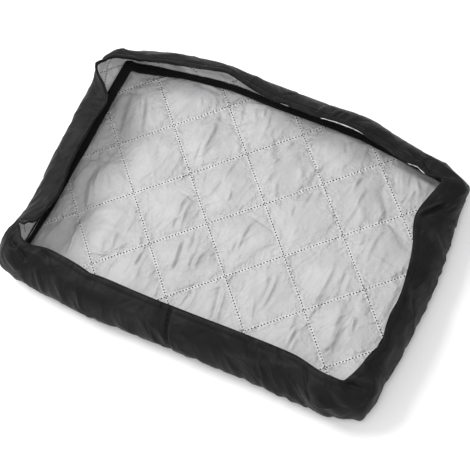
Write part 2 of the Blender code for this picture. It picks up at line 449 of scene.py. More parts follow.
FRONT_SHADES = (0.38, 0.435)
# Painted highlight along the seams: the lining's colour turns to this pale tint at each seam,
# for the sheen of its stretched coating; how much, and over what width.
SEAM_SHEEN_TINT = (0.78, 0.78, 0.79)
SEAM_SHEEN = 0.72
SEAM_SHEEN_WIDTH = 1.6
PUCKER_REACH = 9.0
CRINKLE_STRETCH = (1.0, 0.35, 1.0)

# Both ends of each fold, how far its middle bows to the left, its width and its rise,
# which is a trough where it is negative.
FRONT_FOLD_STRENGTH = 2.1
FRONT_FOLDS = (
    # the valley along the left side
    (-252, 122, -222, 128, 4, 4.5, -1.8), (-241, 128, -229, 60, -3, 6.5, -2.2),
    (-232, 84, -219, 22, -2, 6, -1.6), (-250, 6, -214, 12, 3, 4.5, -2),
    (-226, 12, -229, -30, 3, 5, -1.6), (-232, -6, -214, -84, -2, 6, -3),
    (-216, -60, -214, -112, -1, 7, -2.6), (-216, -92, -207, -142, 1, 7.5, -2.8),
    (-222, 122, -208, 62, 2, 7, 1.5), (-217, 4, -205, -58, 2, 6, 1.3),
    (-206, -76, -196, -120, 1, 5, 1.4),
    # far left
    (-141, 158, -134, 144, 0, 2.5, 1.2), (-218, 128, -204, 88, 1, 2.4, 1.2),
    (-212, 120, -199, 70, 2, 2.4, 1.3), (-224, 120, -214, 98, 1, 2.2, 1),
    (-202, 112, -190, 74, -1, 3, -0.9), (-165, 176, -118, 176, 0, 3.5, -1.3),
    (-192, 180, -128, 181, 0, 3, 1), (-104, 152, -100, 136, 0, 4, -1.3),
    (-102, 128, -98, 72, 2, 4, 1.6), (-108, 118, -104, 56, -1, 3, 1),
    (-160, 72, -150, 42, 0, 5, -1.4), (-232, 30, -222, -12, 2, 4, 1),
    # near left
    (-218, -2, -212, -32, 1, 2.5, 1.2), (-206, -6, -193, -28, 1, 2.5, 1),
    (-198, -72, -148, -46, 4, 8, 2.2), (-190, -82, -130, -78, 3, 7, -1.6),
    (-150, -76, -143, -108, 1, 3, 1.3), (-160, -90, -154, -118, 0, 2.5, 1),
    (-117, -68, -109, -84, 0, 3, 1.1), (-100, -88, -97, -112, 0, 2.4, -1.3),
    (-104, -88, -101, -112, 0, 2, 0.9), (-94, -90, -92, -110, 0, 2, 0.9),
    (-206, -96, -194, -138, 2, 2.6, 1.5), (-211, -92, -200, -140, 2, 2.6, -1.3),
    (-222, -26, -210, -62, 3, 2.6, 1.1), (-128, -128, -126, -108, 0, 2.6, -1.2),
    (-133, -122, -129, -142, 0, 2.4, 1.1),
    # far middle
    (-38, 180, -31, 128, 1, 3, 1.1), (-61, 172, -51, 152, 0, 4, 1.1),
    (-47, 176, -42, 162, 0, 2.4, 0.9), (-76, 176, -70, 158, 0, 3, -1.2),
    (-78, 162, -70, 142, 0, 2.6, 1.1), (8, 142, 2, 110, -1, 5, -1.6),
    (14, 152, 5, 94, -2, 3, 1.2), (6, 112, 4, 58, 1, 8, 1.6),
    (42, 114, 50, 94, 0, 4, 1.2), (20, 80, 26, 62, 0, 3, 1),
    (-47, 94, -47, 48, -2, 2.6, 1.1), (-52, 57, -58, 22, 1, 2.6, 1.1),
    (-78, 63, -70, 28, 1, 3.2, -1.3), (-31, 42, -28, 26, 0, 2.4, 0.9),
    (-63, 117, -49, 98, 1, 4, 0.9), (82, 177, 88, 158, 0, 3, -1.2),
    (88, 177, 84, 158, 0, 2.6, 1.1), (75, 92, 72, 58, 0, 3, -1.2),
    (58, 57, 62, 38, 0, 2.6, 1), (4, 20, 50, 12, 1, 2, -1.1),
    # near middle
    (-98, 12, -58, 4, 3, 2.2, -1.1), (-87, 10, -80, -32, -1, 2.4, 1.1),
    (-77, 7, -69, -44, -1, 2.4, 1.1), (-83, -18, -78, -42, 0, 2.2, -1.1),
    (-48, -30, -40, -64, 1, 3, -1.9), (-43, -30, -34, -62, 1, 2.4, 1.2),
    (-55, -48, -46, -100, 1, 3, -1.9), (-60, -50, -52, -98, 1, 2.4, 1.2),
    (-28, -53, -27, -85, -3, 2.6, -1.6), (-22, -55, -21, -84, -3, 2.2, 1),
    (17, 17, 20, -44, -3, 2.6, 1.4), (12, -13, 16, -42, -1, 2.4, -1.1),
    (20, -86, 33, -137, 1, 3, -1.8), (26, -86, 39, -134, 1, 2.6, 1.1),
    (-15, -108, -16, -137, 0, 2.4, 1.1), (-57, -118, -55, -140, 0, 2.2, 1),
    (-95, -103, -88, -132, 0, 3, 1.1), (-73, -103, -75, -122, 0, 3, 1),
    (84, -44, 86, -98, 3, 2.4, 1.6), (79, -48, 81, -94, 3, 2.6, -1),
    (72, -88, 82, -120, 0, 2.6, 1), (43, -60, 47, -87, 0, 4, 1.2),
    (65, -28, 68, -52, 0, 3, 1), (70, -60, 80, -52, 0, 1.8, 0.7),
    # far right
    (113, 176, 137, 164, 0, 4, -2.2), (168, 167, 184, 128, 1, 4, 1.5),
    (160, 162, 183, 126, -1, 7, -2), (187, 167, 190, 143, 0, 3, -1.2),
    (192, 160, 208, 138, 0, 3, 1.2), (192, 132, 186, 120, 0, 2.6, 1),
    (200, 147, 196, 128, 0, 2.4, 1), (150, 136, 230, 56, -2, 8, -3),
    (121, 142, 123, 103, 0, 3, 1.2), (136, 120, 135, 93, 0, 3, 1.2),
    (145, 92, 150, 68, 0, 6, 1.5), (184, 77, 183, 18, -2, 3.4, 1.4),
    (163, 62, 165, 38, 0, 3, 1), (185, 30, 225, 28, 0, 2, 0.8),
    # near right
    (147, 2, 145, -57, 2, 3, 1.4), (167, -3, 168, -30, 0, 3, -1.3),
    (173, -8, 176, -27, 0, 2.4, 0.9), (196, -62, 214, -126, 0, 14, -2.4),
    (203, -56, 208, -82, 0, 3.5, 1.9), (176, -38, 188, -112, 3, 6, 1.8),
    (132, -86, 133, -110, 0, 3, 1.2), (140, -98, 141, -127, 0, 2.8, 1.2),
    (147, -113, 148, -134, 0, 2.4, 1), (144, -103, 145, -134, 0, 2.4, -1.2),
    (165, -43, 168, -27, 0, 2.6, 0.9), (160, -76, 170, -67, 0, 2.6, -1.1),
    (241, 10, 241, -48, 0, 4, -1.6),
)


def gap_round(along, place, length):
    """Distance onwards from a place on a loop of this length, the shorter way round."""
    return (along - place + length / 2) % length - length / 2


def fold_relief(x, y, folds, period=0.0):
    """Height of soft ridges and troughs, each between two points and bowed to its left;
    with a period, x starts again after it."""
    relief = np.zeros(len(x))
    for x0, y0, x1, y1, bow, width, rise in folds:
        length = math.hypot(x1 - x0, y1 - y0)
        way_x, way_y = (x1 - x0) / length, (y1 - y0) / length
        dx = gap_round(x, x0, period) if period else x - x0
        dy = y - y0
        share = (dx * way_x + dy * way_y) / length
        arch = np.clip(4.0 * share * (1.0 - share), 0.0, 1.0)
        off = dy * way_x - dx * way_y - bow * arch
        relief += rise * bell(off, width) * arch ** 0.75
    return relief


def soft_noise(x, y, seed, repeat=0):
    """Smooth noise from 0 to 1 on a lattice of unit cells; with repeat, x starts again."""
    lattice = np.random.default_rng(seed).random((256, 256))
    size = repeat or 256
    left, low = np.floor(x).astype(int), np.floor(y).astype(int)
    u, v = x - left, y - low
    u, v = u * u * (3.0 - 2.0 * u), v * v * (3.0 - 2.0 * v)
    columns, rows = (left % size, (left + 1) % size), (low % 256, (low + 1) % 256)
    bottom = lattice[columns[0], rows[0]] * (1 - u) + lattice[columns[1], rows[0]] * u
    top = lattice[columns[0], rows[1]] * (1 - u) + lattice[columns[1], rows[1]] * u
    return bottom * (1 - v) + top * v


def ridges(x, y, seed, repeat=0):
    """Noise folded into narrow ridges, from 0 to 1."""
    return (1.0 - np.abs(2.0 * soft_noise(x, y, seed, repeat) - 1.0)) ** 3


def waves(x, y, rise, width, length, seed):
    """Soft waves of a rise, width and length in millimetres, about their mean."""
    return rise * (soft_noise(x / width, y / length, seed) - 0.5)


def creases(x, y, rise, width, length, seed):
    """Narrow ridges of a rise, width and length in millimetres, about their mean."""
    return rise * (ridges(x / width, y / length, seed) - RIDGE_MEAN)


def smooth_step(share):
    """Share limited to 0 and 1, with soft ends."""
    share = np.clip(share, 0.0, 1.0)
    return share * share * (3.0 - 2.0 * share)


def nearest_seam(along, across, side):
    """Distance to the nearest seam of either direction."""
    return np.minimum(seam_gap(along, side), seam_gap(across, side))


def pillow(along, across):
    """Crown of a diamond, from 0 at its seams to 1, with a soft valley at the seams."""
    round_top = np.abs(np.sin(np.pi * along) * np.sin(np.pi * across))
    lowest = SEAM_VALLEY ** PUFF_ROUNDNESS
    crown = (round_top ** 2 + SEAM_VALLEY ** 2) ** (0.5 * PUFF_ROUNDNESS) - lowest
    return crown / (1.0 - lowest)


def puckers(onwards, off, gap, rise, width, length, run, start, seed):
    """Waves that begin a little way off a seam and fade as they run out from it."""
    faded = np.exp(-gap / run) * smooth_step(gap / start)
    return faded * waves(onwards, off, rise, width, length, seed)


def gathers(along, across, side, seed):
    """Puckers across the seams, fine and long, and a dip at each stitch."""
    relief = 0.0
    for turn, (share, way) in enumerate(((along, across), (across, along))):
        gap = seam_gap(share, side)
        onwards, off = way * side, share * side
        uneven = 1.0 + waves(onwards, off, 0.8, 21.0, 40.0, seed + turn + 9)
        dip = STITCH_DIP * bell(gap, STITCH_DIP_WIDTH)
        fine = puckers(onwards, off, gap, *FINE_PUCKERS, seed + turn)
        fine = fine - dip * np.cos(math.tau * STITCHES_PER_DIAMOND * way)
        relief = relief + uneven * fine
        relief = relief + puckers(onwards, off, gap, *LONG_PUCKERS, seed + turn + 5)
    return relief


COARSE_OUTLINE = front_outline(0.0, COARSE_PITCH)


def lining_height(x, y):
    """Top of the padded front lining."""
    seams = diamond_place(x, y, SEAM_CROSSING, DIAMOND_DIAGONAL)
    fullness = np.random.default_rng(21).uniform(*PUFF_FULLNESS, (32, 32))
    column, row = np.floor(seams).astype(int)
    swayed = x + waves(x, y, 9.0, 37.0, 31.0, 30)
    packed = waves(swayed, y, 3.0, 27.0, 33.0, 31) + waves(swayed, y, 1.2, 11.0, 15.0, 36)
    packed += creases(swayed, y, 0.75, 13.0, 27.0, 32)
    packed += creases(x + 0.6 * y, y - 0.6 * x, 0.25, 9.0, 10.0, 35)
    packed += waves(x, y, 0.22, 3.4, 4.2, 33)
    uneven = 0.35 + 1.1 * soft_noise(x / 45.0, y / 45.0, 34)
    held = smooth_step(nearest_seam(*seams, DIAMOND_SIDE) / HELD_WIDTH)
    raised = PUFF_RISE * pillow(*seams) * fullness[column, row]
    raised += packed * uneven * (0.25 + 0.75 * held)
    raised += FRONT_FOLD_STRENGTH * fold_relief(x, y, FRONT_FOLDS)
    raised += gathers(*seams, DIAMOND_SIDE, 41)
    edge = depth_inside(x, y, COARSE_OUTLINE)
    raised *= smooth_step((edge - FLAT_MARGIN) / FADE_MARGIN)
    return CLOTH + LAYER_GAP + np.maximum(STITCHED_PADDING + raised, THINNEST_PADDING)


def seam_puckers(material, place, scale, detail):
    """Noise that is strongest beside the seams, as a factor."""
    noise = add_noise(material, place, scale, detail)
    return product(material, stored(material, "pucker"), noise)


def crinkle(material, place, scale, stretch):
    """Fine noise drawn out one way, as a factor."""
    return add_noise(material, mapped(material, place, "Scale", stretch), scale, 4.0)


def silver_lining(name, has_map, shades):
    """Silver coated lining: satin, finely crinkled one way, between two shades of grey, and
    turned pale by a painted highlight where the mesh marks its seams.
    """
    bumps = (
        (seam_puckers, (190.0, 2.0), 1.0, 0.0055),
        (add_crumple, (26.0, 0.35, 0.45), 1.0, 0.0025),
        (crinkle, (330.0, CRINKLE_STRETCH), 0.5, 0.0008),
        (plain_weave, (0.00045,), 0.22, 0.0001),
    )
    return cloth_material(
        name, has_map, patches=(22.0, 4.0), grain=(600.0, 4.0), roughness=(0.42, 0.55),
        colors=[(shade, shade, 1.012 * shade) for shade in shades], bumps=bumps,
        tint=SEAM_SHEEN_TINT, Specular_IOR_Level=0.25, Sheen_Weight=0.05, Sheen_Roughness=0.5,
    )


bm = quilted_grid(LINING_STEPS, LINING_INSET)
flat = np.array([vertex.co[:2] for vertex in bm.verts]).T
gaps = nearest_seam(*diamond_place(*flat, SEAM_CROSSING, DIAMOND_DIAGONAL), DIAMOND_SIDE)
dust_and_sheen = bm.verts.layers.float.new("dust_and_sheen")
pucker = bm.verts.layers.float.new("pucker")
for vertex, height, gap in zip(bm.verts, lining_height(*flat), gaps):
    vertex.co.z = height
    # Painted highlight: the lining is painted paler along its seams.
    vertex[dust_and_sheen] = SEAM_SHEEN * bell(gap, SEAM_SHEEN_WIDTH)
    vertex[pucker] = math.exp(-gap / PUCKER_REACH)
close_slab(bm, CLOTH + LAYER_GAP)
front_silver = silver_lining("silver_lining_front", False, FRONT_SHADES)
front_lining = add_piece("front_lining", bm, front_silver)
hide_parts("face_lining")


# ---- Front quilting thread ---------------------
# Dark grey thread in straight lock stitches, 19 to a diamond's side. Each stitch lies in
# its seam's groove, and thins out where it goes down into the cloth at both ends.

STITCH_LENGTH = 2.35
FRONT_STITCH = {"width": 1.95, "height": 1.3}
FRONT_STITCH_LIFT = 0.3
FRONT_SEAMS = range(-9, 12)
STITCH_EDGE = 12.0
THREAD_GREYS = ((0.018, 0.018, 0.02), (0.0306, 0.0306, 0.034))


def stitch_spots(seams, crossing, diagonal):
    """The two coordinates of every stitch on these seams of both directions, and whether
    its seam climbs, 1, or falls, -1."""
    spots = []
    stitches = range(seams.start * STITCHES_PER_DIAMOND, seams.stop * STITCHES_PER_DIAMOND)
    for seam, stitch in itertools.product(seams, stitches):
        step = (stitch + 0.5) / STITCHES_PER_DIAMOND
        for along, across, climb in ((seam, step, -1.0), (step, seam, 1.0)):
            x = crossing[0] + 0.5 * (along + across) * diagonal
            y = crossing[1] + 0.5 * (along - across) * diagonal
            spots.append((x, y, climb))
    return np.array(spots).T


def sewn_stitches(places, ways, normals, width, height):
    """A long low bead at each place, turned along the seam and on to the surface."""
    bead = bmesh.new()
    bmesh.ops.create_uvsphere(bead, u_segments=6, v_segments=4, radius=0.5)
    bmesh.ops.rotate(bead, matrix=Matrix.Rotation(math.pi / 2, 3, "Y"), verts=bead.verts)
    bmesh.ops.scale(bead, vec=(STITCH_LENGTH, width, height), verts=bead.verts)
    mesh = as_mesh("bead", bead)
    bm = bmesh.new()
    for place, way, normal in zip(places, ways, normals):
        x_axis = Vector(way).normalized()
        y_axis = Vector(normal).cross(x_axis).normalized()
        turn = Matrix((x_axis, y_axis, x_axis.cross(y_axis))).transposed().to_4x4()
        pose = Matrix.Translation(place) @ turn
        mesh.transform(pose)
        bm.from_mesh(mesh)
        mesh.transform(pose.inverted())
    bpy.data.meshes.remove(mesh)
    return bm


# Matt spun thread with a fine twist.
DARK_THREAD = cloth_material(
    "dark_thread", False, patches=(1500.0, 4.0), colors=THREAD_GREYS, grain=(1500.0, 4.0),
    roughness=(0.6, 0.8), bumps=[(add_ribs, (500.0,), 0.3, 0.0001)], Sheen_Weight=0.2,
)

x, y, climb = stitch_spots(FRONT_SEAMS, SEAM_CROSSING, DIAMOND_DIAGONAL)
seen = depth_inside(x, y, COARSE_OUTLINE) > STITCH_EDGE
spots = np.stack([x, y])[:, seen]
ways = np.stack([np.ones(len(x)), climb])[:, seen] / math.sqrt(2.0)
start, end = (lining_height(*(spots + share * STITCH_LENGTH * ways)) for share in (-0.5, 0.5))
bm = sewn_stitches(
    np.stack([*spots, lining_height(*spots) + FRONT_STITCH_LIFT], axis=1),
    np.stack([*ways, (end - start) / STITCH_LENGTH], axis=1),
    np.tile((0.0, 0.0, 1.0), (len(spots[0]), 1)),
    **FRONT_STITCH,
)
front_thread = add_piece("front_thread", bm, DARK_THREAD)


# ---- Band cloth --------------------------------
# One long strip of the black cloth, sewn round the front and joined near the middle of
# one long side. It stands up, bulges, and curls in where the elastic in its turned hem
# gathers it, hardest at the corners. The elastic is inside the hem and doesn't show.

BAND_STATIONS = 900
BAND_DEPTH = 100.0
BAND_DIAGONAL = BAND_LENGTH / 15.0
BAND_SIDE = BAND_DIAGONAL / math.sqrt(2.0)
BAND_CROSSING = (30.0, 36.0)
HEM_STITCH = 0.915
HEM_ROLL = 1.4
BAND_SECTION = ((0, 1, 56), (0, 1, 8), (0, 1, 5), (0, 1, 30))
OUTER_FACE, ROLL, INNER_ROLL = range(3)
CORNER_REACH = (-6.0, 508.0, 845.0, 1375.0)
CORNER_WIDTH = 55.0
BAND_FOLD_STRENGTH = 1.5
DUST_AND_SHEEN_FOLD = 2.2
NOTCH_DEPTH = 1.7
NOTCH_WIDTH = 4.5
NORMAL_REACH = 4.0
NORMAL_SHARE = 0.03
MAP_SHIFT = 0.37
SAME_POINT = 0.0005

# Lines round the band: place up it, width and rise. They are the hem's stitching, the
# elastic's bulge beside it, and the seam at the base.
BAND_LINES = ((HEM_STITCH, 0.011, -0.9), (0.952, 0.028, 0.6), (0.0, 0.03, -0.8))

# Places round the base where its seam gathers the band into small pinches.
BASE_NOTCHES = (
    155, 187, 215, 248, 263, 300, 332, 364, 390, 421, 452, 484,
    521, 560, 609, 640, 675, 708, 740, 776, 812, 905, 960, 1014, 1058, 1105, 1160,
    1214, 1262, 1318, 1420, 1466, 1512, 1560, 1603, 1650, 1690,
)

# Middle, width and rise of each stretch where the cut band is higher or lower.
HEM_RISES = (
    (122, 16, -0.025), (508, 9, -0.05), (582, 15, -0.055), (622, 34, 0.03),
    (735, 30, -0.02), (846, 14, -0.06), (884, 14, -0.05), (935, 40, -0.05),
    (1213, 26, -0.065), (1452, 34, 0.085), (1702, 30, 0.03),
)

# As on the front, with the way round the band and the height up it.
BAND_FOLDS = (
    # near left corner
    (-9, 85, 16, 88, 0, 3, -3.4), (14, 89, 42, 72, 2, 3, -4),
    (1, 84, 12, 90, 0, 2, -1.8), (3, 80, 40, 54, 1, 3, 2.6),
    (18, 97, 66, 86, 4, 4, -1.8), (20, 90, 68, 82, 3, 2.4, 1),
    (54, 72, 80, 39, 3, 2.4, 2), (78, 75, 113, 45, 3, 2.6, 1.7),
    (60, 70, 84, 42, 3, 2.6, -0.9), (-40, 86, -50, 58, 2, 3, -2.4),
    (-16, 102, -40, 84, 1, 3, 1.6), (-20, 40, 34, 40, 0, 25, -3),
    (1682, 99, 1734, 99, 0, 11, -4.5),
    # near side
    (248, 110, 265, 30, 2, 2, -3.6), (252, 110, 269, 30, 2, 2.2, 0.9),
    (297, 72, 268, 53, 0, 5, -0.9), (333, 77, 412, 80, -8, 4, 1),
    (405, 79, 452, 91, 0, 3.6, 0.8), (120, 82, 176, 84, -2, 5, 0.7),
    (180, 60, 240, 70, 3, 9, 0.9), (110, 30, 190, 34, 0, 9, 0.8),
    # near right corner
    (453, 93, 472, 60, 1, 3.6, -3), (459, 87, 494, 59, -3, 2.4, 2.5),
    (475, 75, 491, 56, 0, 2.4, 2.1), (496, 86, 506, 63, 0, 2.2, 1.3),
    (512, 56, 512, 16, 0, 5, 2.4), (490, 60, 488, 22, 0, 6, -1.4),
    (528, 60, 530, 22, 0, 7, -1.4), (505, 99, 520, 74, 2, 2.4, -2.3),
    (515, 97, 532, 78, 2, 2.4, 1.6),
    # far right corner
    (780, 32, 868, 32, 0, 30, -5),
    # right side
    (638, 83, 680, 93, 0, 3.4, 1.1), (684, 102, 688, 57, 0, 9, -1.8),
    (772, 93, 797, 75, 1, 3, -3.6), (776, 97, 800, 80, 1, 2.4, 1.9),
    (780, 69, 801, 59, 0, 4, -1), (560, 76, 622, 84, 2, 5, 0.9),
    (730, 60, 764, 78, 2, 6, 0.9),
    # far side
    (920, 80, 856, 97, 1, 3, -1.9), (916, 86, 862, 100, 1, 2.4, 1),
    (1010, 96, 1008, 68, 0, 2.6, 1.3), (1026, 96, 1024, 70, 0, 2.4, 1.2),
    (1035, 95, 1035, 72, 0, 2.4, 1.2), (1030, 96, 1029, 72, 0, 2.2, -1),
    (1055, 95, 1056, 70, 0, 2.6, 1.2), (1180, 92, 1230, 76, 3, 4, 1),
    (1290, 70, 1340, 82, 2, 5, 1),
    # far left corner
    (1396, 100, 1414, 70, 2, 3, -1.6), (1410, 98, 1424, 66, 2, 3, 1.3),
    (1356, 90, 1376, 70, 1, 3, -1.4), (1440, 96, 1470, 80, 1, 3.4, 1),
    # left side
    (1643, 84, 1672, 101, 0, 5, 1.1), (1500, 80, 1580, 88, 2, 8, 0.8),
    # gathers that run from the elastic towards the near left corner
    (1674, 104, 1692, 56, 1, 2.2, 1.5), (1680, 104, 1697, 54, 1, 2, -1.5),
    (1686, 104, 1702, 52, 1, 2.2, 1.6), (1692, 104, 1706, 50, 1, 2, -1.5),
    (1698, 103, 1711, 48, 1, 2.2, 1.5), (1704, 103, 1715, 50, 1, 2, -1.4),
    (1710, 103, 1719, 52, 1, 2.2, 1.3),
)


def hem_reach(along):
    """Height of the cut band, where 1 is its usual height."""
    reach = np.ones(len(along))
    for middle, width, rise in HEM_RISES:
        gap = gap_round(along, middle, BAND_LENGTH)
        reach += rise * np.exp(-np.abs(gap / width) ** 1.4)
    return reach


def band_point(along, up):
    """Points of the band's smooth outer face; up runs from 0 at the base to 1."""
    knots = np.stack([round_at(ring_sections(ring), along) for ring in RINGS], axis=1)
    spans = np.linalg.norm(np.diff(knots, axis=1), axis=2)[..., None]
    chords = np.diff(knots, axis=1) / spans
    slopes = np.empty_like(knots)
    slopes[:, 1:-1] = middle_slope(
        knots[:, :-2], knots[:, 1:-1], knots[:, 2:], spans[:, :-1], spans[:, 1:]
    )
    slopes[:, 0] = 1.5 * chords[:, 0] - 0.5 * slopes[:, 1]
    slopes[:, -1] = 1.5 * chords[:, -1] - 0.5 * slopes[:, -2]
    reach = np.concatenate([np.zeros((len(along), 1)), np.cumsum(spans[..., 0], axis=1)], axis=1)
    way = up * hem_reach(along) * reach[:, -1]
    first = (way[:, None] >= reach[:, 1:3]).sum(1)
    each = np.arange(len(along))
    span = spans[each, first]
    step = (way - reach[each, first])[:, None] / span
    return cubic(
        knots[each, first], knots[each, first + 1],
        slopes[each, first] * span, slopes[each, first + 1] * span, step,
    )


def band_normal(along, up):
    """Outward directions of the band, smoothed over its tight corners."""
    low, high = (np.clip(up + side * NORMAL_SHARE, 0.0, 1.0) for side in (-1.0, 1.0))
    onwards = band_point(along + NORMAL_REACH, up) - band_point(along - NORMAL_REACH, up)
    upwards = band_point(along, high) - band_point(along, low)
    normals = np.cross(onwards, upwards)
    return normals / np.linalg.norm(normals, axis=1, keepdims=True)


def even_stations(count):
    """Places round the band in even steps of its real length, and that length. It bulges,
    so its real length is that of the crest or the shoulder, whichever is longer."""
    along = np.linspace(0.0, BAND_LENGTH, 6 * count + 1)
    steps = [
        np.linalg.norm(np.diff(round_at(ring_sections(ring), along), axis=0), axis=1)
        for ring in RINGS[1:3]
    ]
    reach = np.concatenate([[0.0], np.cumsum(np.max(steps, axis=0))])
    return np.interp(np.linspace(0.0, reach[-1], count + 1), reach, along), reach[-1]


STATIONS, ROUND_LENGTH = even_stations(BAND_STATIONS)


def band_waves(along, up, count, rows, seed):
    """Soft waves about their mean, count of them round the band and rows up it."""
    return soft_noise(along * count / BAND_LENGTH, up * rows, seed, count) - 0.5


def band_creases(along, up, count, rows, seed):
    """Narrow ridges about their mean, count of them round the band and rows up it."""
    return ridges(along * count / BAND_LENGTH, up * rows, seed, count) - RIDGE_MEAN


def band_relief(along, up):
    """How far the folds, gathers and stitching move the band's outer face outwards."""
    level = up * BAND_DEPTH
    relief = BAND_FOLD_STRENGTH * fold_relief(along, level, BAND_FOLDS, BAND_LENGTH)
    corner_gaps = [np.abs(gap_round(along, corner, BAND_LENGTH)) for corner in CORNER_REACH]
    corner = bell(np.min(corner_gaps, axis=0), CORNER_WIDTH)
    crimp = band_waves(along, up, 240, 3.0, 51) + 0.5 * band_waves(along, up, 250, 2.0, 52)
    relief += crimp * smooth_step((up - 0.55) / 0.45) * (0.7 + 1.7 * corner)
    relief += 1.8 * band_waves(along, up, 56, 2.2, 53) * smooth_step(up / 0.15)
    slanted = 1.1 * band_creases(along + 40.0 * up, up, 96, 3.5, 54)
    relief += slanted * smooth_step(up / 0.3) * smooth_step((0.95 - up) / 0.3)
    for notch in BASE_NOTCHES:
        gap = gap_round(along, notch, BAND_LENGTH)
        pinch = bell(gap, NOTCH_WIDTH) - 0.35 * bell(gap, 15.0)
        relief -= NOTCH_DEPTH * pinch * bell(up - 0.3, 0.22)
    for share in diamond_place(along, level, BAND_CROSSING, BAND_DIAGONAL):
        groove = bell(seam_gap(share, BAND_SIDE), CHANNEL_WIDTH)
        relief -= CHANNEL_RISE * groove * smooth_step((HEM_STITCH - up) / 0.06)
    for place, width, rise in BAND_LINES:
        relief += rise * bell(up - place, width)
    return relief


def section_points(spans):
    """Steps and zones of the points round a section, where every zone is a span of steps:
    its first, its last and its count."""
    steps = np.concatenate([np.linspace(*span) for span in spans])
    return steps, np.repeat(np.arange(len(spans)), [count for _, _, count in spans])


def rolled_band(steps, zones, place):
    """Closed tube: a flat grid of stations by section points, rolled up by place(), with
    its own map in metres."""
    bm = bmesh.new()
    rows = len(steps)
    bmesh.ops.create_grid(bm, x_segments=BAND_STATIONS, y_segments=rows, size=0.5)
    flat = np.array([vertex.co[:2] for vertex in bm.verts]) + 0.5
    station = np.round(flat[:, 0] * BAND_STATIONS).astype(int)
    row = np.round(flat[:, 1] * rows).astype(int) % rows
    points, dust_and_sheen_amounts = place(STATIONS[station], steps[row], zones[row])
    # Each vertex keeps how much dust and painted highlight it has.
    dust_and_sheen = bm.verts.layers.float.new("dust_and_sheen")
    for vertex, point, dust_and_sheen_amount in zip(bm.verts, points, dust_and_sheen_amounts):
        vertex.co = point
        vertex[dust_and_sheen] = dust_and_sheen_amount
    cloth_map = bm.loops.layers.uv.new("UVMap")
    spread = flat[:, 0] * ROUND_LENGTH * MM
    rise = (steps[row] + MAP_SHIFT * zones[row]) * BAND_DEPTH * MM
    bm.verts.index_update()
    for face in bm.faces:
        for loop in face.loops:
            index = loop.vert.index
            loop[cloth_map].uv = (spread[index], rise[index])
    bmesh.ops.remove_doubles(bm, verts=bm.verts, dist=SAME_POINT)
    return bm


RIM_FADE = 9.0

# Middle and half length of each stretch where the lining shows past the hem, and how
# much of its edge does.
SHOWN_RIM = (
    (571, 11, 0.35), (667, 34, 0.35), (884, 15, 0.6), (1012, 36, 0.6), (1106, 9, 0.5),
)


def rim_shown(along):
    """How far the lining rolls out past the hem, from 0 to 1."""
    shown = np.zeros(len(along))
    for middle, half, amount in SHOWN_RIM:
        gap = np.abs(gap_round(along, middle, BAND_LENGTH))
        shown = np.maximum(shown, amount * smooth_step((half - gap) / RIM_FADE + 0.5))
    return shown


def band_cloth_place(along, step, zone):
    """Points of the black band, and how much paler it is painted there, for dust and a painted
    highlight. Its zones are the outer face, the roll over the hem, the same roll inside, and
    the inner face."""
    lip = 1.0 - rim_shown(along)
    outer = 0.5 * CLOTH + HEM_ROLL * lip
    inner = outer - 0.5 * (lip + CLOTH)
    turn = math.pi * step
    centre = 1.0 - outer / BAND_DEPTH
    zones = [zone == OUTER_FACE, zone == ROLL, zone == INNER_ROLL]
    tops = [centre + radius / BAND_DEPTH * np.sin(turn) for radius in (outer, inner)]
    up = np.select(zones, [step * centre, *tops], (1.0 - step) * centre)
    depths = [0.0, outer * (1.0 - np.cos(turn)), CLOTH + inner * (1.0 + np.cos(turn))]
    depth = np.select(zones, depths, CLOTH)
    offset = band_relief(along, up) - depth
    folds = fold_relief(along, up * BAND_DEPTH, BAND_FOLDS, BAND_LENGTH)
    # Fold ridges on the outer face, and the hem's roll, are painted paler: dust, and a painted
    # highlight.
    dust_and_sheen = 0.5 * np.clip(folds / DUST_AND_SHEEN_FOLD, 0.0, 1.0) * zones[0] + 0.2 * zones[1]
    return band_point(along, up) + band_normal(along, up) * offset[:, None], dust_and_sheen


bm = rolled_band(*section_points(BAND_SECTION), band_cloth_place)
band_cloth = add_piece("band_cloth", bm, black_cloth("black_cloth_band", True))
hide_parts("wall_cloth")


# ---- Band lining -------------------------------
# The same silver lining and wadding inside the band, quilted with it and held flat where
# the hem is stitched. Its colour is painted much paler than the front's: painted light,
# for the light that the curled-in band keeps from its inner face. Here and there its edge
# shows past the black hem.

BAND_PADDING = 1.1
BAND_PUFF = 2.3
LINING_DEPTH = CLOTH + 0.5
LINING_EDGE = 0.983
SHOWN_EDGE = 0.022
LINING_SECTION = ((0, 1, 34), (0.5, 0.5, 1), (1, 0, 56), (0.5, 0.5, 1))
HIDDEN_FACE, HEM_EDGE, SHOWN_FACE, SEWN_EDGE = range(4)
# Painted light: paler shades than the front's, standing in for light that the walls block.
BAND_LIT_SHADES = (0.66, 0.8)


def band_lining_place(along, step, zone):
    """Points of the band's lining. Its zones are the hidden face, the hem edge, the face
    that shows, and the sewn edge; it has no painted highlight or dust of its own."""
    shown = rim_shown(along)
    edge = LINING_EDGE + SHOWN_EDGE * shown
    up = np.select([zone == HEM_EDGE, zone == SEWN_EDGE], [edge + 0.006, -0.004], step * edge)
    share = np.select([zone == HIDDEN_FACE, zone == SHOWN_FACE], [0.0, 1.0], 0.5)
    quilting = diamond_place(along, up * BAND_DEPTH, BAND_CROSSING, BAND_DIAGONAL)
    free = smooth_step((0.965 - up) / 0.13) * smooth_step((up - 0.02) / 0.2)
    inner = BAND_PADDING + free * BAND_PUFF * pillow(*quilting)
    inner += free * 0.6 * gathers(*quilting, BAND_SIDE, 71)
    inner += 0.6 * band_creases(along, up, 200, 4.0, 72) * free
    inner += 0.8 * shown * smooth_step((up - 0.93) / 0.05)
    depth = LINING_DEPTH + share * np.maximum(inner, 0.6)
    offset = np.minimum(band_relief(along, up), 0.3) - 0.15 - depth
    points = band_point(along, up) + band_normal(along, up) * offset[:, None]
    return points, np.zeros(len(along))


